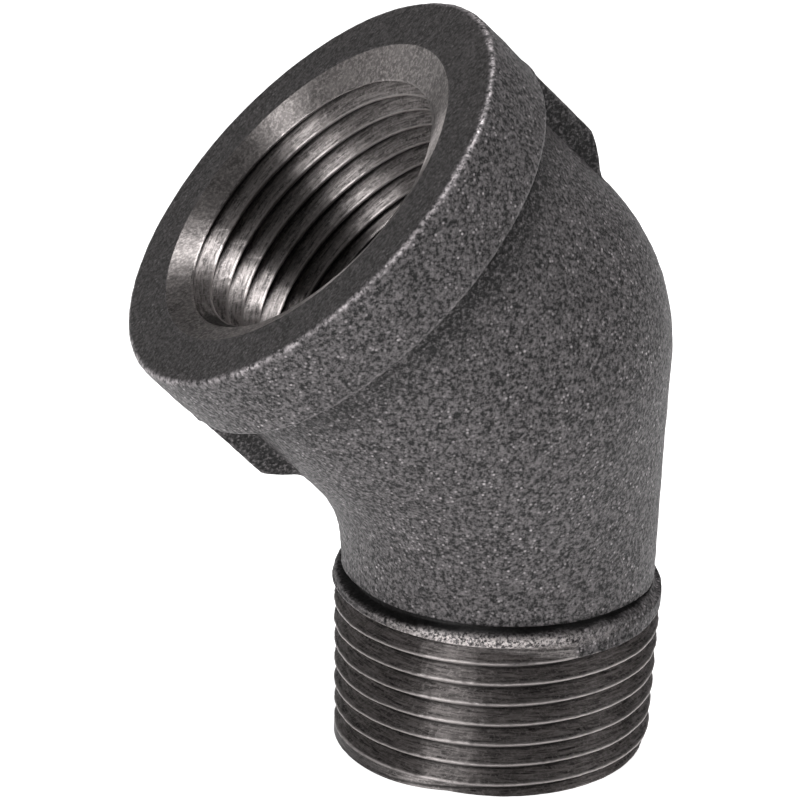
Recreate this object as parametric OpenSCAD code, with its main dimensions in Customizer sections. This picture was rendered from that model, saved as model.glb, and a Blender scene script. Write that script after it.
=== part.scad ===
// 45 degree street elbow for threaded pipe: a banded socket with an internal
// taper thread at one end, and a spigot with an external taper thread at the other.
// The bend lies in the XZ plane. The spigot's end face is at Z = 0, its axis is +Z,
// and the socket opens up and towards -X.

/* [Bend] */
// Height from the spigot's end face to the point where the two axes meet
spigot_reach = 31.3; // [31.1:0.1:33]
// Distance from the point where the two axes meet to the socket's face
socket_reach = 24.75; // [24.4:0.05:26]
// Outside radius of the neck above the spigot thread
neck_r = 12.8; // [12.6:0.1:13]
// Radius of the outer curve of the bend, along the heel
heel_r = 18.5; // [17:0.1:20]
// Radius of the inner curve of the bend, in the throat
throat_r = 11.3; // [9.5:0.1:11.7]

/* [Socket] */
// Outside radius of the socket wall behind the band
socket_r = 16.85; // [16.5:0.05:17]
// Outside radius of the reinforcing band
band_r = 18.95; // [18.6:0.05:19.3]
// Width of the reinforcing band along the socket
band_w = 6.8; // [6.3:0.1:7.4]
// Radius of the countersunk mouth at the socket's face
mouth_r = 14.6; // [14:0.1:15]
// Depth of the countersink
mouth_depth = 1.5; // [1.3:0.1:1.7]

/* [Ribs] */
// Thickness of the two mould-line ribs
rib_w = 4; // [3:0.2:5]
// Distance along the socket axis from the bend's centre to a rib's free end
rib_start = 9; // [8.5:0.1:9.6]
// Rounding of a rib's free end
rib_round = 1.8; // [1:0.1:1.9]

/* [Pipe thread] */
// Pitch of the taper pipe thread, 14 threads to the inch
pitch = 1.8143; // [1.8:0.0001:1.83]
// Depth of a thread from its crest to its root
thread_depth = 1.36; // [1.3:0.01:1.38]
// Width of the flat on a thread's crest
crest_w = 0.16; // [0.13:0.01:0.17]
// Pitch radius of the spigot thread at its end face
spigot_pitch_r = 12.3; // [12.25:0.01:12.35]
// Pitch radius of the socket thread at the socket's face
socket_pitch_r = 12.56; // [12.5:0.01:12.6]

/* [Waterway] */
// Radius of the straight bore through the spigot
bore_r = 9; // [8.8:0.1:9.1]
// Radius of the wider core behind the socket thread
core_r = 12.4; // [12.2:0.1:12.5]

/* [Hidden] */

$fn = 96;
bend_angle = 45;

// Taper pipe thread: 1 in 16 on the diameter, 60 degree form
taper = 1 / 32;
flank_run = thread_depth * tan(30);
root_w = pitch - crest_w - 2 * flank_run;

// Spigot, measured up from its end face
spigot_threads = 7;
spigot_first_crest = 1.45;
spigot_tip_r = 12.3;
spigot_thread_end = spigot_first_crest + spigot_threads * pitch - crest_w / 2 - flank_run;
collar_top = 15.3;
collar_lip = 0.2;
bore_countersink = 0.8;

// Socket, measured in from its face
socket_threads = 7;
sleeve_r = 14;
sleeve_end = mouth_depth + (socket_threads - 1) * pitch + crest_w + flank_run + root_w;
socket_start = 6.7;
socket_depth = socket_reach - socket_start;

// How far a rib's outline reaches into the socket wall before it is cut to the wall's curve
rib_root = 1;

// The core behind the socket thread ends in a ball on the socket axis
core_start = 4;
seam = 0.01;

// Outlines of the bend in its plane: each is a line, an arc through the bend angle and a line
half_tan = tan(bend_angle / 2);
corner_rise = socket_r / sin(bend_angle) - neck_r;
heel_center = [neck_r - heel_r, spigot_reach + corner_rise - heel_r * half_tan];
throat_center = [-neck_r - throat_r, spigot_reach - corner_rise - throat_r * half_tan];
neck_steps = 8;
arc_steps = 18;
ring_points = 72;

function mix(a, b, t) = a + (b - a) * t;
function ease(t) = t * t * (3 - 2 * t);
function on_arc(center, r, angle) = center + r * [cos(angle), sin(angle)];
function across_socket(along, side) =
    [0, spigot_reach] + along * [-sin(bend_angle), cos(bend_angle)]
    + side * [cos(bend_angle), sin(bend_angle)];

// Heel and throat points of each cross-section, from the neck up to the socket
heel_points = [
    for (i = [0 : neck_steps - 1])
        [neck_r, mix(collar_top, heel_center[1], i / neck_steps)],
    for (i = [0 : arc_steps])
        on_arc(heel_center, heel_r, bend_angle * i / arc_steps),
    across_socket(socket_start, socket_r)
];
throat_points = [
    for (i = [0 : neck_steps - 1])
        [-neck_r, mix(collar_top, throat_center[1], i / neck_steps)],
    for (i = [0 : arc_steps])
        on_arc(throat_center, throat_r, bend_angle * i / arc_steps),
    across_socket(socket_start, -socket_r)
];

// One oval cross-section between a heel point and a throat point
function section(heel, throat, half_width) =
    let (middle = (heel + throat) / 2, reach = (heel - throat) / 2)
    [
        for (i = [0 : ring_points - 1])
            let (a = 360 * i / ring_points)
            [
                middle[0] + reach[0] * cos(a),
                half_width * sin(a),
                middle[1] + reach[1] * cos(a)
            ]
    ];

// A closed skin over a stack of cross-sections with the same number of points
module skin(sections) {
    n = len(sections[0]);
    last = len(sections) - 1;
    sides = [
        for (k = [0 : last - 1], i = [0 : n - 1])
            let (j = (i + 1) % n)
            each [
                [k * n + i, (k + 1) * n + i, k * n + j],
                [k * n + j, (k + 1) * n + i, (k + 1) * n + j]
            ]
    ];
    bottom = [for (i = [0 : n - 1]) i];
    top = [for (i = [n - 1 : -1 : 0]) last * n + i];
    polyhedron(points = [for (s = sections) each s], faces = concat(sides, [bottom, top]));
}

// Places its children on the socket axis, with +Z out of the socket and Z = 0 at the face
module at_socket() {
    translate([0, 0, spigot_reach])
        rotate([0, -bend_angle, 0])
            translate([0, 0, socket_reach])
                children();
}

// The passage through the fitting: straight bore, then the wider core of the socket
module waterway() {
    translate([0, 0, -seam])
        cylinder(h = spigot_reach + seam, r = bore_r);
    at_socket() {
        translate([0, 0, core_start - socket_reach])
            sphere(r = core_r);
        translate([0, 0, core_start - socket_reach])
            cylinder(h = socket_reach - core_start, r = core_r);
    }
}

// Outline of a row of external crests: from each crest's lower root to its upper root
function crest_outline(first, count) = [
    for (k = [0 : count - 1])
        let (mid = first + k * pitch, crest = spigot_pitch_r + thread_depth / 2 + mid * taper)
        each [
            [crest - thread_depth, mid - crest_w / 2 - flank_run],
            [crest, mid - crest_w / 2],
            [crest, mid + crest_w / 2],
            [crest - thread_depth, mid + crest_w / 2 + flank_run]
        ]
];

// Outline of a row of internal crests, running in from the first crest at the mouth
function socket_outline(count) = [
    for (k = [0 : count - 1])
        let (start = mouth_depth + k * pitch,
            crest = socket_pitch_r - thread_depth / 2 - (start + crest_w / 2) * taper)
        each [
            if (k > 0) [crest + thread_depth, -start + flank_run],
            [crest, -start],
            [crest, -start - crest_w],
            [crest + thread_depth, -start - crest_w - flank_run]
        ]
];

// Curved body between the neck and the socket
module bend_body() {
    middles = (heel_points + throat_points) / 2;
    bottom = middles[0][1];
    top = middles[len(middles) - 1][1];
    color([0.3, 0.29, 0.29])
        difference() {
            skin([
                for (i = [0 : len(middles) - 1])
                    section(heel_points[i], throat_points[i],
                        mix(neck_r, socket_r, ease((middles[i][1] - bottom) / (top - bottom))))
            ]);
            waterway();
        }
}

// Straight wall of the socket, seated around the threaded sleeve
module socket_wall() {
    color([0.32, 0.31, 0.31])
        at_socket()
            rotate_extrude()
                polygon([
                    [core_r, -socket_depth],
                    [socket_r, -socket_depth],
                    [socket_r, -mouth_depth],
                    [sleeve_r, -mouth_depth],
                    [sleeve_r, -sleeve_end],
                    [core_r, -sleeve_end]
                ]);
}

// Thick band around the open end of the socket
module socket_band() {
    color([0.36, 0.34, 0.33])
        at_socket()
            translate([0, 0, -band_w])
                rotate_extrude()
                    translate([socket_r, 0])
                        square([band_r - socket_r, band_w]);
}

// Face of the socket with the countersink that leads into the thread
module mouth_ring() {
    color([0.27, 0.26, 0.26])
        at_socket()
            rotate_extrude()
                polygon([
                    [mouth_r, 0],
                    [socket_pitch_r - thread_depth / 2, -mouth_depth],
                    [socket_r, -mouth_depth],
                    [socket_r, 0]
                ]);
}

// Internal taper thread of the socket
module female_thread() {
    color([0.5, 0.48, 0.46])
        at_socket()
            rotate_extrude()
                polygon([
                    [sleeve_r, -mouth_depth],
                    each socket_outline(socket_threads),
                    [sleeve_r, -sleeve_end]
                ]);
}

// External taper thread of the spigot, with its end face and bore
module male_thread() {
    color([0.2, 0.19, 0.18])
        rotate_extrude()
            polygon([
                [bore_r, bore_countersink],
                [bore_r + bore_countersink, 0],
                [spigot_tip_r, 0],
                each crest_outline(spigot_first_crest, spigot_threads),
                [bore_r, spigot_thread_end]
            ]);
}

// Incomplete last thread, where the thread runs out into the cast neck
module runout_collar() {
    crest_z = spigot_thread_end + flank_run;
    crest = spigot_pitch_r + thread_depth / 2 + crest_z * taper;
    color([0.26, 0.25, 0.25])
        rotate_extrude()
            polygon([
                [bore_r, spigot_thread_end],
                [crest - thread_depth, spigot_thread_end],
                [crest, crest_z],
                [crest, crest_z + crest_w],
                [neck_r + collar_lip, collar_top],
                [bore_r, collar_top]
            ]);
}

// One rib on the heel's side of the socket wall, level with the band
module rib() {
    difference() {
        rotate([90, 0, 0])
            linear_extrude(height = rib_w, center = true)
                rib_outline();
        translate([0, 0, -socket_reach])
            cylinder(h = socket_reach, r = socket_r);
    }
}

// Side view of a rib: a block with its free end's outer corner rounded
module rib_outline() {
    inner = socket_r - rib_root;
    start = rib_start - socket_reach;
    translate([inner, start + rib_round])
        square([band_r - inner, socket_reach - rib_start - rib_round - band_w]);
    translate([inner, start])
        square([band_r - rib_round - inner, rib_round]);
    translate([band_r - rib_round, start + rib_round])
        circle(r = rib_round);
}

// Rib along the outer curve
module heel_rib() {
    color([0.22, 0.21, 0.21])
        at_socket()
            rib();
}

// Rib along the inner curve
module throat_rib() {
    color([0.22, 0.21, 0.21])
        at_socket()
            mirror([1, 0, 0])
                rib();
}

bend_body();
socket_wall();
socket_band();
mouth_ring();
female_thread();
male_thread();
runout_collar();
heel_rib();
throat_rib();
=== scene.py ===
"""Looks for the 45 degree street elbow: one iron casting with a cut thread at each end.

Lengths in this script are millimetres, in the CAD model's frame, until a mesh is written.
"""

import math

import bpy
import numpy as np
from mathutils import Matrix, Vector


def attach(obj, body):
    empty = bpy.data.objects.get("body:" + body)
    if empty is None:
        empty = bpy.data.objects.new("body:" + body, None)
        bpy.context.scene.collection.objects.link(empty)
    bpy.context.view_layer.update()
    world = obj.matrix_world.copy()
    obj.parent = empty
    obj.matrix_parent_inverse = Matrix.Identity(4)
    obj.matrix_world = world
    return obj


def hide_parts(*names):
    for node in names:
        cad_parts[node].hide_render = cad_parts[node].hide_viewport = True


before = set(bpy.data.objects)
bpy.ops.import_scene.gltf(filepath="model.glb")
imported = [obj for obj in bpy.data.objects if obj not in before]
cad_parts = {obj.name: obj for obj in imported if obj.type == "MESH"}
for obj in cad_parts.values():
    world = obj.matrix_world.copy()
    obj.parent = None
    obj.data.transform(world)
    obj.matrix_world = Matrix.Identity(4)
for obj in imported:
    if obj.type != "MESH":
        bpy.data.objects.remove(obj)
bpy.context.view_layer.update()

MM = 0.001
BEND = math.radians(45)

# Casting, as in the CAD model
SPIGOT_REACH = 31.3
SOCKET_REACH = 24.75
NECK_R = 12.8
HEEL_R = 18.5
THROAT_R = 11.3
SOCKET_R = 16.85
SOCKET_START = 6.7
BAND_R = 18.95
BAND_W = 6.8
COLLAR_TOP = 15.3
RIB_W = 4.0
BORE_R = 9.0
BORE_COUNTERSINK = 0.8
CORE_R = 12.4
CORE_HEEL_R = 13.0
CORE_THROAT_R = 12.0
CORE_START = 9.0
# Heights and lengths of the ribs' free ends, which slope down into the wall
RIB_FREE_END = 11.15
RIB_FALL = 1.95
RIB_TOE_HEEL = 3.3
RIB_TOE_THROAT = 2.5
# Marks the points on the bend, which lie before the start of the socket's axis
ON_BEND = -1.0
# The cast socket stands this much off the axis of its machined thread, towards the heel
SOCKET_SHIFT = 0.12

# Taper pipe thread, nominal 3/4
PITCH = 1.8143
THREAD_DEPTH = 1.36
CREST_W = 0.16
TAPER = 1 / 32
FLANK_RUN = THREAD_DEPTH * math.tan(math.radians(30))
SPIGOT_CREST_R = 12.98
SPIGOT_FIRST_CREST = 1.446
SPIGOT_PHASE = math.radians(-90)
SPIGOT_TIP_R = 12.37
SPIGOT_THREAD_END = 13.285
# Radius of the spigot's blank at the run-out, and of its end where the first groove is uncut
SPIGOT_BLANK_R = 13.5
SPIGOT_UNCUT_R = 13.12
SOCKET_CREST_R = 11.88
SOCKET_FIRST_CREST = 0.79
SOCKET_PHASE = math.radians(90)
SOCKET_SHEET_END = 16.0
MOUTH_R = 14.6
MOUTH_SLOPE = 2.29
# Radius that the tap's teeth reach, and of the cast lip behind the thread
TAP_R = 13.3
VOID_R = 11.2
# Tears in a cut surface are long around it and short along it
TEAR_STRETCH = np.array([0.35, 0.35, 1.2])


# ---------------------------------------------------------------- helpers


def smoothstep(t):
    """0 below 0, 1 above 1, and a smooth rise between."""
    t = np.clip(t, 0.0, 1.0)
    return t * t * (3 - 2 * t)


def smooth_max(a, b, k):
    """The larger of two heights, rounded over k where they meet."""
    h = np.clip(0.5 + 0.5 * (a - b) / k, 0, 1)
    return b + (a - b) * h + k * h * (1 - h)


def smooth_min(a, b, k):
    return -smooth_max(-a, -b, k)


def cell_hash(ix, iy, iz, seed):
    """A fixed number between 0 and 1 for each cell of a grid."""
    n = (ix * 73856093) ^ (iy * 19349663) ^ (iz * 83492791) ^ (seed * 2654435)
    n = n & 0x7FFFFFFF
    n = ((n ^ (n >> 13)) * 1274126177) & 0x7FFFFFFF
    n = ((n ^ (n >> 11)) * 461845907) & 0x7FFFFFFF
    return (n ^ (n >> 15)) / float(0x7FFFFFFF)


def value_noise(points, wavelength, seed):
    """Smooth noise between -1 and 1 at each point."""
    q = np.asarray(points, float) / wavelength + 1000.0
    i = np.floor(q).astype(np.int64)
    f = q - i
    u = f * f * (3 - 2 * f)
    total = np.zeros(q.shape[:-1])
    for dx in (0, 1):
        wx = u[..., 0] if dx else 1 - u[..., 0]
        for dy in (0, 1):
            wy = u[..., 1] if dy else 1 - u[..., 1]
            for dz in (0, 1):
                wz = u[..., 2] if dz else 1 - u[..., 2]
                h = cell_hash(i[..., 0] + dx, i[..., 1] + dy, i[..., 2] + dz, seed)
                total += wx * wy * wz * h
    return 2 * total - 1


def cast_relief(points):
    """How far the as-cast skin stands off its nominal surface."""
    return (
        0.07 * value_noise(points, 7.0, 1)
        + 0.03 * value_noise(points, 2.1, 2)
        + 0.022 * value_noise(points, 0.8, 3)
        + 0.02 * value_noise(points, 0.45, 4)
    )


def socket_to_frame(points):
    """From the socket's own axes, z out of its face, to the model's frame."""
    c, s = math.cos(BEND), math.sin(BEND)
    x, y, z = points[..., 0], points[..., 1], points[..., 2] + SOCKET_REACH
    return np.stack([x * c - z * s, y, SPIGOT_REACH + x * s + z * c], axis=-1)


def grid_faces(rows, cols, shift=0):
    """Quads of a sheet that closes on itself; the last column meets the first, shift rows up."""
    k, j = np.meshgrid(np.arange(rows - 1), np.arange(cols), indexing="ij")
    last = j == cols - 1
    nj = np.where(last, 0, j + 1)
    up = np.where(last, shift, 0)
    k0 = np.minimum(k + up, rows - 1)
    k1 = np.minimum(k + 1 + up, rows - 1)
    return np.stack([k * cols + j, k0 * cols + nj, k1 * cols + nj, (k + 1) * cols + j], axis=-1)


def vertex_normals(verts, quads):
    """Unit normals at the points of a sheet, from the faces around each."""
    a, b, c, d = (verts[quads[:, i]] for i in range(4))
    n = np.cross(c - a, d - b)
    out = np.zeros_like(verts)
    for i in range(4):
        np.add.at(out, quads[:, i], n)
    length = np.linalg.norm(out, axis=1, keepdims=True)
    return out / np.maximum(length, 1e-12)


class Sheet:
    """A grid of points with its faces, its normals and some values at each point."""

    def __init__(self, points, shift=0, flip=False, values=None):
        rows, cols = points.shape[:2]
        self.verts = points.reshape(-1, 3)
        quads = grid_faces(rows, cols, shift).reshape(-1, 4)
        if flip:
            quads = quads[:, ::-1]
        # rows that were squeezed together at an end are joined
        key = np.round(self.verts / 0.003).astype(np.int64)
        _, first, inverse = np.unique(key, axis=0, return_index=True, return_inverse=True)
        quads = first[inverse.reshape(-1)][quads]
        self.quads = quads
        self.normals = vertex_normals(self.verts, quads)
        self.values = {k: v.reshape(-1) for k, v in (values or {}).items()}

    def part(self, keep):
        """The faces that start at a grid point where keep is true."""
        return self, self.quads[np.asarray(keep, bool)[:-1].reshape(-1)]

    def all(self):
        return self, self.quads


def make_piece(name, node, parts, material):
    """One named mesh from parts of one or more sheets, with smooth shading across the cuts."""
    verts, normals, faces, values = [], [], [], {}
    base = 0
    names = sorted({k for sheet, _ in parts for k in sheet.values})
    for sheet, quads in parts:
        used, inverse = np.unique(quads, return_inverse=True)
        quads = inverse.reshape(quads.shape)
        verts.append(sheet.verts[used])
        normals.append(sheet.normals[used])
        for k in names:
            column = sheet.values.get(k)
            values.setdefault(k, []).append(
                column[used] if column is not None else np.zeros(len(used))
            )
        for q in quads:
            ring = [int(v) for v in dict.fromkeys(q.tolist())]
            if len(ring) >= 3:
                faces.append([base + v for v in ring])
        base += len(used)
    verts = np.concatenate(verts)
    normals = np.concatenate(normals)
    mesh = bpy.data.meshes.new(name)
    mesh.from_pydata((verts * MM).tolist(), [], faces)
    mesh.update()
    for k in names:
        layer = mesh.attributes.new(k, "FLOAT", "POINT")
        layer.data.foreach_set("value", np.concatenate(values[k]).astype(np.float32))
    mesh.polygons.foreach_set("use_smooth", [True] * len(mesh.polygons))
    mesh.normals_split_custom_set_from_vertices(normals.tolist())
    mesh.materials.append(material)
    obj = bpy.data.objects.new(name, mesh)
    bpy.context.scene.collection.objects.link(obj)
    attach(obj, "root")
    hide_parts(node)


# ---------------------------------------------------------------- casting


def bend_lines(neck_r, socket_r, heel_r, throat_r, bottom, neck_steps, arc_steps, end):
    """Heel and throat points (x, z) of the cross-sections from the neck to the socket."""
    rise = socket_r / math.sin(BEND) - neck_r
    half_tan = math.tan(BEND / 2)
    heel_c = np.array([neck_r - heel_r, SPIGOT_REACH + rise - heel_r * half_tan])
    throat_c = np.array([-neck_r - throat_r, SPIGOT_REACH - rise - throat_r * half_tan])
    heel, throat = [], []
    for i in range(neck_steps):
        t = i / neck_steps
        heel.append([neck_r, bottom + (heel_c[1] - bottom) * t])
        throat.append([-neck_r, bottom + (throat_c[1] - bottom) * t])
    for i in range(arc_steps + 1):
        a = BEND * i / arc_steps
        d = np.array([math.cos(a), math.sin(a)])
        heel.append(heel_c + heel_r * d)
        throat.append(throat_c + throat_r * d)
    for side, line in ((socket_r, heel), (-socket_r, throat)):
        line.append([
            -end * math.sin(BEND) + side * math.cos(BEND),
            SPIGOT_REACH + end * math.cos(BEND) + side * math.sin(BEND),
        ])
    return np.array(heel), np.array(throat)


def oval_rings(heel, throat, neck_r, socket_r, angles):
    """Points of the cross-sections, and the outward direction at each."""
    middle = (heel + throat) / 2
    reach = (heel - throat) / 2
    height = (middle[:, 1] - middle[0, 1]) / (middle[-1, 1] - middle[0, 1])
    half = neck_r + (socket_r - neck_r) * smoothstep(height)
    c, s = np.cos(angles), np.sin(angles)
    x = middle[:, None, 0] + reach[:, None, 0] * c
    y = half[:, None] * s
    z = middle[:, None, 1] + reach[:, None, 1] * c
    points = np.stack([x, y, z], axis=-1)
    unit = reach / np.linalg.norm(reach, axis=1, keepdims=True)
    out = np.stack(
        [unit[:, None, 0] * c, np.broadcast_to(s, x.shape), unit[:, None, 1] * c], axis=-1
    )
    return points, out


def column_angles():
    """Angles around the casting, closer together along the ribs' sides."""
    coarse = np.radians(np.arange(0, 360, 0.72))
    fine = []
    for centre in (0, 180):
        for side in (-1, 1):
            fine.append(np.radians(centre + side * np.arange(4.6, 9.0, 0.18)))
    fine = np.mod(np.concatenate(fine), 2 * math.pi)
    gap = np.abs(coarse[:, None] - fine[None, :]).min(axis=1)
    return np.sort(np.concatenate([coarse[gap > math.radians(0.12)], fine]))


def socket_outline():
    """Distance, radius and wear of the socket's outside, from the bend to the mouth's rim, with a
    painted highlight on the countersink's edge.
    """
    back = SOCKET_REACH - BAND_W
    fillet, edge, nose, gap, crown = 0.8, 0.5, 0.5, 0.04, 0.05
    out = [(s, SOCKET_R, 0.0) for s in np.arange(SOCKET_START, back - fillet - 0.1, 0.2)]
    for a in np.radians(np.linspace(0, 78, 12)):
        rise = fillet * (1 - math.cos(a))
        out.append((back - fillet * (1 - math.sin(a)), SOCKET_R + rise, 0.0))
    for a in np.radians(np.linspace(12, 90, 12)):
        wear = 0.3 * math.exp(-(((math.degrees(a) - 50) / 24) ** 2))
        along = back + edge * (1 - math.cos(a)) + gap
        out.append((along, BAND_R - edge * (1 - math.sin(a)), wear))
    start, stop = back + edge + gap, SOCKET_REACH - nose
    for t in np.linspace(0, 1, 30)[1:-1]:
        out.append((start + (stop - start) * t, BAND_R + crown * math.sin(math.pi * t), 0.0))
    for a in np.radians(np.linspace(0, 90, 12)):
        wear = 0.9 * math.exp(-(((math.degrees(a) - 46) / 24) ** 2))
        out.append((stop + nose * math.sin(a), BAND_R - nose * (1 - math.cos(a)), wear))
    for r in np.linspace(BAND_R - nose, MOUTH_R + 0.14, 20)[1:]:
        out.append((SOCKET_REACH, r, 0.0))
    # painted highlight: a thin light line on the countersink's outer edge, put in as wear
    out.append((SOCKET_REACH, MOUTH_R, 0.6))
    return np.array(out)


def rib_radius(along, angle):
    """Height of the two ribs above the socket's axis, at a distance along it and an angle."""
    toe = np.where(np.cos(angle) > 0, RIB_TOE_HEEL, RIB_TOE_THROAT)
    fall = np.clip((RIB_FREE_END - along) / toe, 0, 3)
    top = BAND_R - 0.05 - RIB_FALL * fall**1.3
    side = np.abs(np.sin(angle)) * SOCKET_R
    wall = SOCKET_R - 0.25 + (RIB_W / 2 + 0.12 - side) * 5.0
    return smooth_min(top, wall, 0.45)


def casting_sheet():
    """The whole as-cast outside from the neck to the mouth's rim, as one sheet."""
    angles = column_angles()
    heel, throat = bend_lines(
        NECK_R, SOCKET_R, HEEL_R, THROAT_R, COLLAR_TOP - 0.05, 34, 76, SOCKET_START
    )
    body, out = oval_rings(heel, throat, NECK_R, SOCKET_R, angles)
    outline = socket_outline()
    along, radius = outline[1:, 0], outline[1:, 1]
    s = along[:, None] + 0 * angles
    r0 = radius[:, None] + 0 * angles
    rib = rib_radius(s, angles[None, :])
    on_side = radius < BAND_R - 0.02
    last_side = np.nonzero(on_side & (along < SOCKET_REACH - BAND_W + 1))[0].max()
    rows = np.arange(len(along))[:, None]
    r = np.where(rows <= last_side + 2, smooth_max(r0, rib, 0.55), r0)
    x, y = r * np.cos(angles), r * np.sin(angles)
    leg = socket_to_frame(np.stack([x, y, s - SOCKET_REACH], axis=-1))
    e = np.stack([np.cos(angles), np.sin(angles), 0 * angles], axis=-1)
    zero = socket_to_frame(np.zeros(3))
    leg_out = np.broadcast_to(socket_to_frame(e) - zero, leg.shape)
    on_face = along > SOCKET_REACH - 1e-6
    axis = np.array([-math.sin(BEND), 0, math.cos(BEND)])
    leg_out = np.where(on_face[:, None, None], axis, leg_out)
    points = np.concatenate([body, leg])
    outward = np.concatenate([out, leg_out])
    heel_way = np.array([math.cos(BEND), 0, math.sin(BEND)])
    offset = np.concatenate([
        smoothstep(np.linspace(0, 1, len(body))),
        np.clip((radius - MOUTH_R) / 1.5, 0, 1),
    ])
    points = points + (SOCKET_SHIFT * offset)[:, None, None] * heel_way
    wear = np.concatenate([np.zeros(len(body)), outline[1:, 2]])
    face = np.concatenate([np.zeros(len(body)), on_face.astype(float)])
    s_all = np.concatenate([np.full(len(body), ON_BEND), along])
    rib_all = np.concatenate([np.zeros(body.shape[:2]), (rib > r0 + 0.12).astype(float)])
    rib_all[len(body) + last_side + 1:] = 0
    side = np.abs(np.sin(angles)) * SOCKET_R - RIB_W / 2
    # darker in the corners beside the ribs, and painted shade under the band's rear edge, fading
    # out along the wall
    corner = SOCKET_REACH - BAND_W + 0.3
    behind = (s_all > 7.5) & (s_all < corner + 0.05)
    soot = np.exp(-((side / 0.55) ** 2))[None, :] * behind[:, None]
    soot = soot * smoothstep((s_all - 8.2) / 1.5)[:, None]
    # painted shade: the wall just under the band's rear edge is darkened, more on one side
    under = np.exp(-((np.clip(corner - s_all - 2.0, 0, None) / 1.7) ** 2)) * (s_all < corner)
    soot = np.maximum(soot, under[:, None] * (0.55 + 0.4 * np.cos(angles + 0.9))[None, :])
    relief = cast_relief(points)
    face_relief, chip_depth = 0.45, 0.1
    relief = relief * np.where(face > 0, face_relief, 1.0)[:, None]
    chips = value_noise(points, 0.9, 7) * 0.5 + value_noise(points, 0.4, 8) * 0.5
    relief = relief - chip_depth * wear[:, None] * np.clip(chips, 0, 1)
    points = points + outward * relief[..., None]
    # one more ring is tucked in under the run-out's notch
    tuck = points[0] * np.array([0.94, 0.94, 1]) - np.array([0, 0, 0.15])
    points = np.concatenate([tuck[None], points])
    values = {
        "wear": np.broadcast_to(np.r_[0, wear][:, None], points.shape[:2]).copy(),
        "face": np.broadcast_to(np.r_[0, face][:, None], points.shape[:2]).copy(),
        "soot": np.concatenate([np.zeros((1, points.shape[1])), soot]),
    }
    sheet = Sheet(points, values=values)
    s_map = np.broadcast_to(np.r_[ON_BEND, s_all][:, None], points.shape[:2])
    rib_map = np.concatenate([np.zeros((1, points.shape[1])), rib_all])
    a_map = np.broadcast_to(angles, points.shape[:2])
    return sheet, s_map, rib_map, a_map


def waterway_sheet():
    """The cast passage from the spigot's end to the back of the socket's thread."""
    angles = np.radians(np.arange(0, 360, 2.0))
    heel, throat = bend_lines(
        BORE_R, CORE_R, CORE_HEEL_R, CORE_THROAT_R, COLLAR_TOP, 14, 30, CORE_START
    )
    rings, out = oval_rings(heel, throat, BORE_R, CORE_R, angles)
    half = BORE_COUNTERSINK / 2
    profile = [(0.0, BORE_R + BORE_COUNTERSINK), (half, BORE_R + half)]
    profile += [(BORE_COUNTERSINK, BORE_R), (2.0, BORE_R)]
    machined = len(profile)
    profile += [(z, BORE_R) for z in np.arange(3.0, COLLAR_TOP - 0.2, 0.8)]
    bore = np.array([
        [[r * math.cos(a), r * math.sin(a), z] for a in angles] for z, r in profile
    ])
    points = np.concatenate([bore, rings])
    e = np.stack([np.cos(angles), np.sin(angles), 0 * angles], axis=-1)
    outward = np.concatenate([np.broadcast_to(e, bore.shape), out])
    # no relief on the machined end, nor on the ring that meets the socket
    rough = np.r_[np.zeros(machined), np.ones(len(points) - machined)][:, None]
    rough[-1] = 0
    points = points + outward * (cast_relief(points) * rough)[..., None]
    level = np.concatenate([np.zeros(len(bore)), np.ones(len(rings))])
    return Sheet(points, flip=True), np.broadcast_to(level[:, None], points.shape[:2])


# ---------------------------------------------------------------- threads


def pitch_fractions():
    """Where the rows of a thread lie within one pitch, from crest to crest."""
    flat = CREST_W / 2 / PITCH
    flank = FLANK_RUN / PITCH
    root = (1 - 2 * flat - 2 * flank) / 2
    up = [flat, flat + 0.04]
    up += [flat + flank * t for t in (0.2, 0.35, 0.5, 0.65, 0.8, 0.92)]
    up += [flat + flank, flat + flank + root * 0.5]
    return np.array([0.0] + up + [0.5] + [1 - v for v in reversed(up)])


def helix_rows(first, phase, low, high, columns):
    """Heights of a thread sheet's rows at each column, clipped to the thread's length."""
    part = pitch_fractions()
    n = len(part)
    start = first - PITCH * math.ceil((first + PITCH - low) / PITCH + 1)
    turns = int(math.ceil((high - start) / PITCH)) + 2
    rows = (np.arange(turns)[:, None] + part[None, :]).reshape(-1)
    share = np.arange(columns) / columns
    z = start + PITCH * (rows[:, None] + share[None, :])
    angles = phase + 2 * math.pi * share
    return np.clip(z, low, high), angles, n


def ridge(z, angles, first, phase):
    """1 on a thread's crest and 0 at its root, for a right-hand thread."""
    turn = (angles - phase) / (2 * math.pi)
    off = (z - first) / PITCH - turn
    off = np.abs(off - np.round(off)) * PITCH
    return np.clip((CREST_W / 2 + FLANK_RUN - off) / FLANK_RUN, 0, 1)


def around(view, centre, width, power=2):
    """A smooth bump of one about an angle in degrees, the same on both sides of a full turn."""
    off = np.mod(view - centre + 180, 360) - 180
    return np.exp(-((off / width) ** power))


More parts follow.
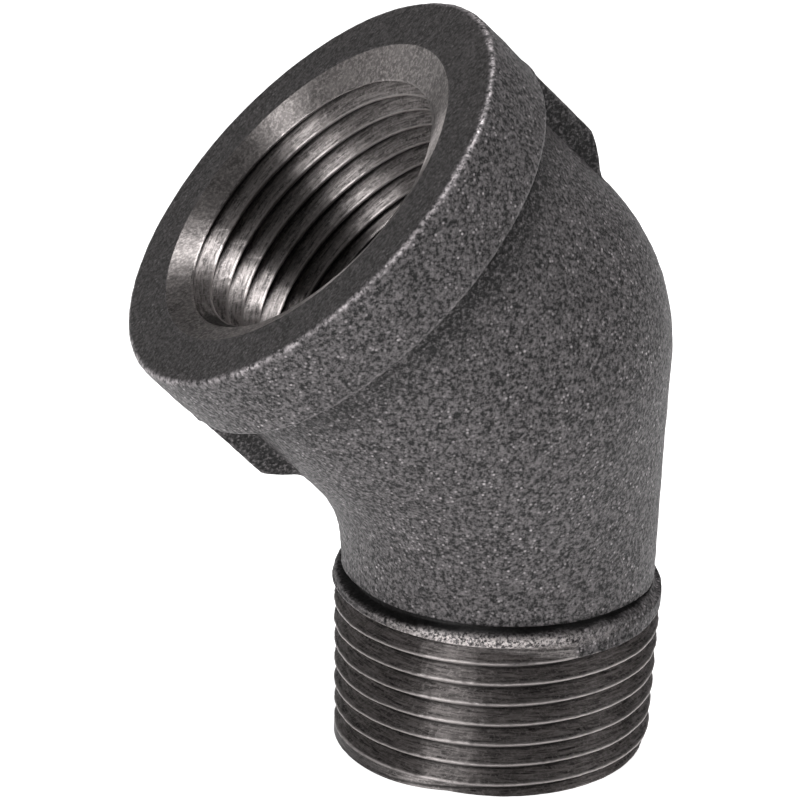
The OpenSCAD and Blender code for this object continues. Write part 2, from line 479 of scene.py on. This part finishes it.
def spigot_sheet():
    """The external thread, its chamfered end and its run-out into the neck."""
    columns = 420
    top = COLLAR_TOP + 0.25
    z, angles, shift = helix_rows(SPIGOT_FIRST_CREST, SPIGOT_PHASE, 0.0, top, columns)
    a = np.broadcast_to(angles, z.shape)
    view = np.degrees(np.mod(a, 2 * math.pi))
    h = ridge(z, a, SPIGOT_FIRST_CREST, SPIGOT_PHASE)
    proud = 0.035
    crest_r = SPIGOT_CREST_R + proud + z * TAPER
    root_r = crest_r - THREAD_DEPTH
    place = np.stack([crest_r * np.cos(a), crest_r * np.sin(a), z], axis=-1)
    # torn and slightly uneven crests
    tear = value_noise(place * TEAR_STRETCH, 0.8, 11)
    fine = value_noise(place, 0.5, 12)
    uneven = 0.03 * tear + 0.03 * fine
    thread = root_r + THREAD_DEPTH * h + uneven * h
    # the first groove isn't cut on one side of the end
    blunt = around(view, 186, 48, 4) * (z < 1)
    thread = np.maximum(thread, root_r + (SPIGOT_UNCUT_R - root_r) * blunt)
    # the die stops at one height, and its last groove fades out over part of a turn
    turn = (a - SPIGOT_PHASE) / (2 * math.pi)
    groove = np.round((z - SPIGOT_FIRST_CREST) / PITCH - turn - 0.5) + 0.5 + turn
    last_groove, fade_turns = 6.405, 0.15
    fade = root_r + (THREAD_DEPTH + 0.3) * smoothstep((groove - last_groove) / fade_turns)
    lead = root_r + np.clip(z - 12.95, 0, None) * 1.9
    cut = np.maximum(thread, np.maximum(lead, fade))
    blank = SPIGOT_BLANK_R + cast_relief(place) * 1.4 + 0.06 * value_noise(place, 3.0, 14)
    r = smooth_min(cut, blank, 0.06)
    skin = smoothstep((cut - blank) / 0.12 + 0.5) * (z > 12)
    # the neck of the casting, and the notch where the die stopped against it, with painted shade
    # in it
    left = around(view, 190, 38)
    right = around(view, 300, 26)
    closed = around(view, 345, 24) + around(view, 60, 50)
    low_side = around(view, 348, 34)
    width = np.clip(0.24 + 0.56 * left + 0.06 * right - 0.26 * closed, 0.03, 1)
    width = width * (1 - 0.95 * around(view, 160, 22))
    centre = 15.06 - 0.25 * left - 0.5 * low_side
    notch = NECK_R - 0.5 + np.maximum(np.abs(z - centre) - width * 0.45, 0) * 4.5
    neck = NECK_R + cast_relief(place)
    shoulder = neck + 0.62 * (1 - smoothstep((z - 14.35 + 0.95 * low_side + 0.15 * left) / 0.9))
    r = np.where(z > 13.9, smooth_min(r, shoulder, 0.1), r)
    open_r = r
    r = smooth_min(r, np.where(z > 13.7, notch, 99.0), 0.06)
    # painted shade: how far the notch cuts in, used to paint it black
    painted_notch_shade = smoothstep((open_r - r) / 0.22) * (z > 13.7)
    # the end's chamfer
    chamfer = SPIGOT_TIP_R + 0.75 * blunt + z * 1.15
    r = np.minimum(r, chamfer + 0.03 * fine)
    points = np.stack([r * np.cos(a), r * np.sin(a), z], axis=-1)
    front = around(view, 245, 34)
    sheet = Sheet(points, shift=shift, values={
        "crest": smoothstep((h - 0.93) / 0.07) * (1 - skin) * (r < chamfer + 0.02),
        "skin": np.clip(skin + (z > 14.4), 0, 1),
        # groove also darkens the roots and the uncut end with painted shade
        "groove": np.maximum(1 - h, 0.97 * blunt),
        "notch": painted_notch_shade,
        # torn metal on the camera-facing side of the ridge, painted brighter as a glint
        "torn": np.exp(-(((z - 14.0) / 0.55) ** 2)) * front * (1 - painted_notch_shade),
    })
    return sheet, z, points[0]


def end_face_sheet(rim):
    """The spigot's flat end, between the thread's chamfer and the bore's countersink."""
    angles = np.arctan2(rim[:, 1], rim[:, 0])
    inner = BORE_R + BORE_COUNTERSINK
    rows = []
    for t in np.linspace(0, 1, 7):
        r = np.hypot(rim[:, 0], rim[:, 1]) * (1 - t) + inner * t
        rows.append(np.stack([r * np.cos(angles), r * np.sin(angles), 0 * r], axis=-1))
    return Sheet(np.array(rows), flip=True)


def socket_thread_sheet():
    """The countersink and the internal thread, in the model's frame."""
    columns = 400
    low = -SOCKET_SHEET_END
    z, angles, shift = helix_rows(-SOCKET_FIRST_CREST, SOCKET_PHASE, low, 0.0, columns)
    a = np.broadcast_to(angles, z.shape)
    view = np.degrees(np.mod(a, 2 * math.pi))
    depth = -z
    h = ridge(z, a, -SOCKET_FIRST_CREST, SOCKET_PHASE)
    crest_r = SOCKET_CREST_R - depth * TAPER
    place = np.stack([crest_r * np.cos(a), crest_r * np.sin(a), z], axis=-1)
    tear = value_noise(place * TEAR_STRETCH, 0.8, 21)
    fine = value_noise(place, 0.5, 22)
    thread = crest_r + THREAD_DEPTH * (1 - h) - (0.03 * tear + 0.02 * fine) * h
    # the tap's cut ends behind the thread, and the cast core opens out again
    tap = TAP_R - np.clip(depth - 11.8, 0, None) * 0.75
    void = VOID_R + (CORE_R - VOID_R) * smoothstep((depth - 12.4) / 1.4)
    void = void + cast_relief(place) * (depth > 12)
    inside = np.maximum(void, np.minimum(thread, tap))
    bumps = 0.012 * value_noise(place, 0.6, 23) * (depth > 0.02)
    cone = MOUTH_R - MOUTH_SLOPE * depth + bumps
    # the tap's first groove opens deeper on the throat's side, in the countersink
    entry = around(view, 190, 24, 4)
    inside = np.maximum(inside, TAP_R - 2.6 * np.abs(depth - 1.35) - 3.5 * (1 - entry))
    r = np.maximum(inside, cone)
    turned = (cone >= inside).astype(float)
    points = socket_to_frame(np.stack([r * np.cos(a), r * np.sin(a), z], axis=-1))
    sheet = Sheet(points, shift=shift, flip=True, values={
        "crest": smoothstep((h - 0.93) / 0.07) * (1 - turned) * (depth < 13),
        "turned": turned,
        # groove also darkens the roots and the countersink's first groove with painted shade
        "groove": np.maximum(1 - h, entry * (depth < 2)) * (1 - turned),
        "skin": smoothstep((void - np.minimum(thread, tap)) / 0.1),
    })
    return sheet, turned


# ---------------------------------------------------------------- materials


class Nodes:
    """Short calls for building a material's node tree."""

    def __init__(self, name):
        self.material = bpy.data.materials.new(name)
        self.material.use_nodes = True
        self.tree = self.material.node_tree
        self.tree.nodes.clear()
        self.out = self.add("ShaderNodeOutputMaterial")
        self.shader = self.add("ShaderNodeBsdfPrincipled")
        self.link(self.shader.outputs[0], self.out.inputs[0])
        self.coords = self.add("ShaderNodeTexCoord").outputs["Object"]

    def add(self, kind, **settings):
        node = self.tree.nodes.new(kind)
        for key, value in settings.items():
            setattr(node, key, value)
        return node

    def link(self, a, b):
        self.tree.links.new(a, b)

    def put(self, socket, value):
        if isinstance(value, bpy.types.NodeSocket):
            self.link(value, socket)
        else:
            socket.default_value = value

    def noise(self, wavelength, detail=2.0, rough=0.55, coords=None):
        node = self.add("ShaderNodeTexNoise")
        self.link(coords or self.coords, node.inputs["Vector"])
        node.inputs["Scale"].default_value = 1 / (wavelength * MM)
        node.inputs["Detail"].default_value = detail
        node.inputs["Roughness"].default_value = rough
        return node.outputs["Fac"]

    def cells(self, size, output="Distance"):
        node = self.add("ShaderNodeTexVoronoi")
        self.link(self.coords, node.inputs["Vector"])
        node.inputs["Scale"].default_value = 1 / (size * MM)
        return node.outputs[output]

    def value(self, name):
        return self.add("ShaderNodeAttribute", attribute_name=name).outputs["Fac"]

    def math(self, op, a, b=0.0, c=0.0, clamp=False):
        node = self.add("ShaderNodeMath", operation=op, use_clamp=clamp)
        for socket, v in zip(node.inputs, (a, b, c)):
            self.put(socket, v)
        return node.outputs[0]

    def ramp(self, fac, low, high, a=0.0, b=1.0):
        node = self.add("ShaderNodeMapRange", clamp=True)
        self.put(node.inputs["Value"], fac)
        for key, v in (("From Min", low), ("From Max", high), ("To Min", a), ("To Max", b)):
            node.inputs[key].default_value = v
        return node.outputs[0]

    def mix(self, fac, a, b):
        node = self.add("ShaderNodeMix", data_type="RGBA")
        self.put(node.inputs[0], fac)
        self.put(node.inputs[6], a)
        self.put(node.inputs[7], b)
        return node.outputs[2]

    def blend(self, fac, a, b):
        node = self.add("ShaderNodeMix", data_type="FLOAT")
        self.put(node.inputs[0], fac)
        self.put(node.inputs[2], a)
        self.put(node.inputs[3], b)
        return node.outputs[0]

    def bump(self, height, depth, strength=1.0, normal=None):
        node = self.add("ShaderNodeBump")
        self.put(node.inputs["Height"], height)
        node.inputs["Distance"].default_value = depth * MM
        node.inputs["Strength"].default_value = strength
        if normal is not None:
            self.link(normal, node.inputs["Normal"])
        return node.outputs[0]

    def finish(self, color, rough, metal, normal):
        self.put(self.shader.inputs["Base Color"], color)
        self.put(self.shader.inputs["Roughness"], rough)
        self.put(self.shader.inputs["Metallic"], metal)
        self.put(self.shader.inputs["Normal"], normal)
        return self.material


def grey(v, blue=-0.02):
    """Iron grey: a touch of red in it, and blue more or less than green."""
    return (v * 1.085, v, v * (1 + blue), 1.0)


# Colours of the oxide skin, of worn metal (also used for a painted rim highlight), of painted
# shade in the thread roots and the notch, and of torn metal with a painted glint
CAST_BLUE = 0.025
SCALE_DARK = grey(0.006, CAST_BLUE)
SCALE_LIGHT = grey(0.15, CAST_BLUE)
FLECK = grey(0.55, CAST_BLUE)
WORN_EDGE_AND_RIM_HIGHLIGHT = grey(0.6, CAST_BLUE)
FACE_SCALE = grey(0.033, -0.03)
TURNED_DARK, TURNED_LIGHT, TURNED_GLINT = grey(0.16), grey(0.34), grey(0.6)
ROOT_SHADE, NOTCH_SHADE = grey(0.02), grey(0.006)
BARE_CREST, TORN_METAL_GLINT = grey(0.42), grey(0.85)
BRUSH_STRETCH = 10


def cast_tone(m):
    """Colour, grain and bright flecks of the as-cast oxide skin."""
    fine = m.noise(0.28, 3.0, 0.65)
    grain = m.noise(0.6, 2.0, 0.6)
    patch = m.noise(4.0, 3.0, 0.5)
    tone = m.math("MULTIPLY_ADD", fine, 0.7, m.math("MULTIPLY", grain, 0.3))
    color = m.mix(m.ramp(tone, 0.42, 0.61), SCALE_DARK, SCALE_LIGHT)
    fleck = m.ramp(m.cells(0.36), 0.4, 0.12)
    chosen = m.ramp(m.cells(0.36, "Color"), 0.45, 0.9)
    spark = m.math("MULTIPLY", fleck, chosen, clamp=True)
    spark = m.math("MULTIPLY", spark, m.ramp(patch, 0.35, 0.62, 0.3, 1.0), clamp=True)
    color = m.mix(spark, color, FLECK)
    return color, fine, grain, spark


def cast_material():
    """As-cast black iron: a dark oxide skin full of fine bright grains, worn at the edges."""
    m = Nodes("cast_skin")
    color, fine, grain, spark = cast_tone(m)
    # darker in the corners beside the ribs, and painted shade under the band
    soot = m.math("MULTIPLY", m.value("soot"), m.ramp(fine, 0.62, 0.5, 0.2, 0.85))
    color = m.mix(soot, color, SCALE_DARK)
    # bare metal where an edge has been knocked, and a painted highlight along the countersink's
    # outer edge
    wear = m.math("MULTIPLY", m.value("wear"), m.ramp(m.noise(0.45, 3.0, 0.7), 0.42, 0.6))
    wear = m.math("MULTIPLY", wear, m.ramp(m.noise(2.6, 2.0), 0.3, 0.6, 0.35, 1.0), clamp=True)
    color = m.mix(wear, color, WORN_EDGE_AND_RIM_HIGHLIGHT)
    # the face's ring is smoother and darker
    color = m.mix(m.math("MULTIPLY", m.value("face"), 0.6), color, FACE_SCALE)
    rough = m.ramp(fine, 0.3, 0.7, 0.66, 0.46)
    rough = m.blend(spark, rough, 0.36)
    rough = m.blend(wear, rough, 0.38)
    metal = m.blend(m.math("MAXIMUM", wear, spark), 0.3, 0.8)
    normal = m.bump(grain, 0.2, 0.6)
    normal = m.bump(fine, 0.14, 0.9, normal)
    return m.finish(color, rough, metal, normal)


def streaks(m, tilt):
    """Fine lines around the axis of a cut surface; tilt turns them to the socket's axis."""
    turn = m.add("ShaderNodeMapping", vector_type="POINT")
    m.link(m.coords, turn.inputs["Vector"])
    turn.inputs["Rotation"].default_value = (0, tilt, 0)
    press = m.add("ShaderNodeMapping", vector_type="POINT")
    m.link(turn.outputs[0], press.inputs["Vector"])
    press.inputs["Scale"].default_value = (0.06, 0.06, 1)
    return press.outputs[0]


def brush(m, axis, start, amount):
    """Scratches that run around an axis, so gloss spreads along it and not around it."""
    away = m.add("ShaderNodeVectorMath", operation="SUBTRACT")
    m.link(m.coords, away.inputs[0])
    away.inputs[1].default_value = [v * MM for v in start]
    reach = m.add("ShaderNodeVectorMath", operation="MULTIPLY_ADD")
    m.link(away.outputs[0], reach.inputs[0])
    reach.inputs[1].default_value = [BRUSH_STRETCH] * 3
    reach.inputs[2].default_value = axis
    m.link(reach.outputs[0], m.shader.inputs["Tangent"])
    m.shader.inputs["Anisotropic"].default_value = amount


def turned_material(axis, start):
    """The countersink: turned metal with fine rings, brushed and satin."""
    m = Nodes("machined_mouth")
    brush(m, axis, start, 0.9)
    lines = m.noise(0.13, 3.0, 0.7, streaks(m, BEND))
    soft = m.noise(1.6, 3.0, 0.6)
    fine = m.noise(0.28, 3.0, 0.7)
    color = m.mix(m.ramp(soft, 0.3, 0.7), TURNED_DARK, TURNED_LIGHT)
    color = m.mix(m.ramp(fine, 0.45, 0.68), color, TURNED_GLINT)
    rough = m.ramp(fine, 0.3, 0.75, 0.5, 0.38)
    normal = m.bump(lines, 0.03, 0.5)
    normal = m.bump(fine, 0.014, 0.7, normal)
    return m.finish(color, rough, 0.95, normal)


def thread_material(name, tilt, axis, start, dark, light):
    """Cut thread: oily dark steel, streaked around its axis, with bare crests and painted shade
    in its roots.
    """
    m = Nodes(name)
    brush(m, axis, start, 0.95)
    lines = m.noise(0.1, 4.0, 0.7, streaks(m, tilt))
    fine = m.noise(0.26, 3.0, 0.7)
    crest = m.math("MULTIPLY", m.value("crest"), m.ramp(m.noise(0.5, 2.0), 0.25, 0.55, 0.35, 1.0))
    color = m.mix(m.ramp(lines, 0.35, 0.7), grey(dark), grey(light))
    color = m.mix(m.ramp(fine, 0.5, 0.72, 0.0, 0.7), color, grey(light * 1.2))
    # painted shade: the deepest part of each root, the spigot's uncut end and the countersink's
    # first groove are darkened
    painted_root_shade = m.ramp(m.value("groove"), 0.84, 1.0)
    color = m.mix(m.math("MULTIPLY", painted_root_shade, 0.8), color, ROOT_SHADE)
    color = m.mix(crest, color, BARE_CREST)
    skin = m.value("skin")
    cast, grit, _, spark = cast_tone(m)
    color = m.mix(skin, color, cast)
    # the cut ridge of the run-out is torn metal with a painted glint, and its notch is painted
    # black as shade
    torn = m.math("MULTIPLY", m.value("torn"), m.ramp(fine, 0.44, 0.58))
    color = m.mix(torn, color, TORN_METAL_GLINT)
    color = m.mix(m.math("MULTIPLY", m.value("notch"), 0.92), color, NOTCH_SHADE)
    rough = m.blend(crest, m.ramp(lines, 0.3, 0.7, 0.52, 0.4), 0.42)
    rough = m.blend(skin, rough, m.ramp(grit, 0.3, 0.7, 0.66, 0.46))
    metal = m.blend(skin, 0.92, m.blend(spark, 0.3, 0.85))
    normal = m.bump(lines, 0.035, 0.7)
    normal = m.bump(fine, 0.01, 0.7, normal)
    return m.finish(color, rough, metal, normal)


# ---------------------------------------------------------------- pieces


def build():
    """Every piece, each on the CAD node that it replaces."""
    up, out = (0, 0, 1), (-math.sin(BEND), 0, math.cos(BEND))
    elbow = (0, 0, SPIGOT_REACH)
    cast, turned = cast_material(), turned_material(out, elbow)
    spigot_metal = thread_material("cut_thread_spigot", 0.0, up, (0, 0, 0), 0.045, 0.38)
    socket_metal = thread_material("cut_thread_socket", BEND, out, elbow, 0.08, 0.48)

    casting, s_map, rib_map, a_map = casting_sheet()
    water, level = waterway_sheet()
    back = SOCKET_REACH - BAND_W
    heel_side = np.cos(a_map) > 0
    is_rib = rib_map > 0.5
    is_body = s_map < 0
    is_face = casting.values["face"].reshape(s_map.shape) > 0.5
    is_band = (s_map >= back) & ~is_face & ~is_rib
    is_wall = ~is_body & ~is_band & ~is_face & ~is_rib

    make_piece("bend_body_casting", "bend_body",
               [casting.part(is_body), water.part(level > 0.5)], cast)
    make_piece("socket_wall_casting", "socket_wall", [casting.part(is_wall)], cast)
    make_piece("socket_band_casting", "socket_band", [casting.part(is_band)], cast)
    make_piece("heel_rib_casting", "heel_rib",
               [casting.part(is_rib & heel_side)], cast)
    make_piece("throat_rib_casting", "throat_rib",
               [casting.part(is_rib & ~heel_side)], cast)

    inner, is_turned = socket_thread_sheet()
    make_piece("mouth_face_ring", "mouth_ring", [casting.part(is_face)], cast)
    make_piece("socket_thread_cut", "female_thread",
               [inner.part(is_turned < 0.5)], socket_metal)
    make_piece("mouth_countersink", "mouth_ring",
               [inner.part(is_turned >= 0.5)], turned)

    spigot, z, rim = spigot_sheet()
    end = end_face_sheet(rim)
    make_piece("spigot_thread_cut", "male_thread",
               [spigot.part(z < SPIGOT_THREAD_END), end.all(), water.part(level < 0.5)],
               spigot_metal)
    make_piece("runout_collar_ridge", "runout_collar",
               [spigot.part(z >= SPIGOT_THREAD_END)], spigot_metal)


# ---------------------------------------------------------------- setting

# The point that the lamps look at and the one that the camera turns around, in millimetres
LIT_POINT = (-8, 0, 32)
CAMERA_PIVOT = (-9, 0, 30)
# Where the photograph was taken from, in metres and degrees, and its lens
CAMERA_DISTANCE = 0.36045
CAMERA_AZIMUTH = -19.08
CAMERA_ELEVATION = 21.96
CAMERA_ROLL = 2.08
CAMERA_LENS = 202.5
# Half the floor's side, in metres, and what the floor and the backdrop send onto the object
FLOOR_HALF = 3.0
FLOOR_GLOW = 0.86
BACKDROP_GLOW = 0.08


def add_area(name, direction, distance, size, power):
    """A round lamp that looks at the middle of the fitting from a direction."""
    light = bpy.data.lights.new(name, "AREA")
    light.shape = "DISK"
    light.size = size
    light.energy = power
    obj = bpy.data.objects.new(name, light)
    d = Vector(direction).normalized()
    obj.location = Vector(LIT_POINT) * MM + d * distance
    obj.rotation_euler = d.to_track_quat("Z", "Y").to_euler()
    bpy.context.scene.collection.objects.link(obj)


def setting():
    """A plain white floor and backdrop, and four soft lamps."""
    floor_mesh = bpy.data.meshes.new("studio_floor")
    corners = ((-1, -1), (1, -1), (1, 1), (-1, 1))
    corners = [(x * FLOOR_HALF, y * FLOOR_HALF, 0) for x, y in corners]
    floor_mesh.from_pydata(corners, [], [(0, 1, 2, 3)])
    floor = bpy.data.objects.new("studio_floor", floor_mesh)
    bpy.context.scene.collection.objects.link(floor)
    m = Nodes("studio_floor")
    floor_mesh.materials.append(m.material)
    m.shader.inputs["Base Color"].default_value = (0.5, 0.5, 0.5, 1)
    m.shader.inputs["Roughness"].default_value = 0.9
    m.shader.inputs["Specular IOR Level"].default_value = 0.1
    m.shader.inputs["Emission Color"].default_value = (1, 1, 1, 1)
    # white to the camera, and a softer white in what it sends up onto the object
    seen = m.add("ShaderNodeLightPath").outputs["Is Camera Ray"]
    m.link(m.ramp(seen, 0.0, 1.0, FLOOR_GLOW, 1.0), m.shader.inputs["Emission Strength"])

    # the backdrop looks white to the camera but sends only a little light onto the object
    world = bpy.data.worlds.new("studio")
    world.use_nodes = True
    tree = world.node_tree
    back = tree.nodes["Background"]
    back.inputs[0].default_value = (1, 1, 1, 1)
    dim = tree.nodes.new("ShaderNodeBackground")
    dim.inputs[0].default_value = (1, 1, 1, 1)
    dim.inputs[1].default_value = BACKDROP_GLOW
    rays = tree.nodes.new("ShaderNodeLightPath")
    mix = tree.nodes.new("ShaderNodeMixShader")
    tree.links.new(rays.outputs["Is Camera Ray"], mix.inputs[0])
    tree.links.new(dim.outputs[0], mix.inputs[1])
    tree.links.new(back.outputs[0], mix.inputs[2])
    tree.links.new(mix.outputs[0], tree.nodes["World Output"].inputs[0])
    bpy.context.scene.world = world
    bpy.context.scene.view_settings.view_transform = "Standard"

    add_area("overhead", (0.24, 0.1, 0.955), 0.6, 0.2, 2.8)
    add_area("left_high", (-0.8, -0.4, 0.42), 0.6, 0.14, 0.9)
    add_area("left_front", (-0.7, -0.67, 0.23), 0.6, 0.12, 0.75)
    add_area("right_front", (0.8, -0.6, 0.1), 0.8, 0.6, 0.85)


def camera():
    """The camera stands where the photograph was taken from, with a long lens."""
    azimuth, elevation = math.radians(CAMERA_AZIMUTH), math.radians(CAMERA_ELEVATION)
    roll = math.radians(CAMERA_ROLL)
    back = Vector((
        math.sin(azimuth) * math.cos(elevation),
        -math.cos(azimuth) * math.cos(elevation),
        math.sin(elevation),
    ))
    right = Vector((math.cos(azimuth), math.sin(azimuth), 0))
    up = back.cross(right)
    rolled_right = right * math.cos(roll) + up * math.sin(roll)
    rolled_up = up * math.cos(roll) - right * math.sin(roll)
    data = bpy.data.cameras.new("camera")
    data.sensor_width = 36.0
    data.lens = CAMERA_LENS
    data.shift_x = -0.0003
    data.shift_y = 0.005
    data.clip_start = 0.01
    data.clip_end = 20
    data.dof.use_dof = False
    obj = bpy.data.objects.new("camera", data)
    basis = Matrix((rolled_right, rolled_up, back)).transposed().to_4x4()
    place = Vector(CAMERA_PIVOT) * MM + back * CAMERA_DISTANCE
    obj.matrix_world = Matrix.Translation(place) @ basis
    bpy.context.scene.collection.objects.link(obj)
    bpy.context.scene.camera = obj


build()
setting()
camera()
